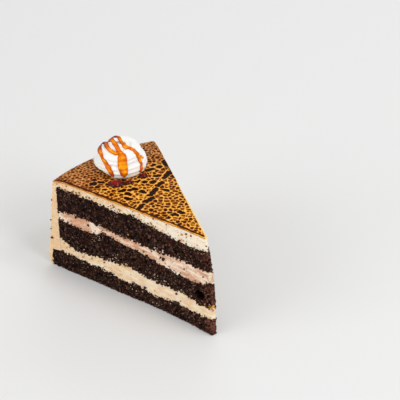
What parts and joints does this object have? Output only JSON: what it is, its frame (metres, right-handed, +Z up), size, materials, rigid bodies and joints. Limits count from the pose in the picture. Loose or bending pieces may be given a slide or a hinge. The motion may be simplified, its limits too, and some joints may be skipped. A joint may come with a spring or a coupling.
{
  "type": "coffee toffee pastry slice",
  "caption": "Triangular slice of layered sponge and cream cake with a combed cream coat, a mottled caramel glaze and a piped cream rosette under caramel strands.",
  "frame": {"origin": "middle of the bounding box on the plane that the slice stands on", "axes": "+Z up, +X along the slice from the combed outer wall to the tip, +Y across it, towards the rear cut face"},
  "size_m": [0.1213, 0.0767, 0.0834],
  "materials": {
    "sponge": "matt, open dark chocolate crumb with small pores and loose crumbs",
    "lower_filling": "soft ivory cream with brown flecks and knife smears",
    "upper_filling": "soft pink-beige coffee cream, streaked paler along the cut",
    "icing": "smooth ivory cream, combed in level ridges on the outer wall, with caramel specks",
    "glaze": "glossy golden caramel mottled with dark brown cells",
    "whipped_cream": "satin white whipped cream with piped ribs",
    "caramel": "glossy translucent orange caramel, dark red where thick"
  },
  "bodies": {
    "root": {"sponge_bottom": "sponge", "filling_lower": "lower_filling", "sponge_middle": "sponge", "filling_upper": "upper_filling", "sponge_top": "sponge", "icing": "icing", "caramel_glaze": "glaze", "cream_rosette": "whipped_cream"}
  },
  "joints": []
}
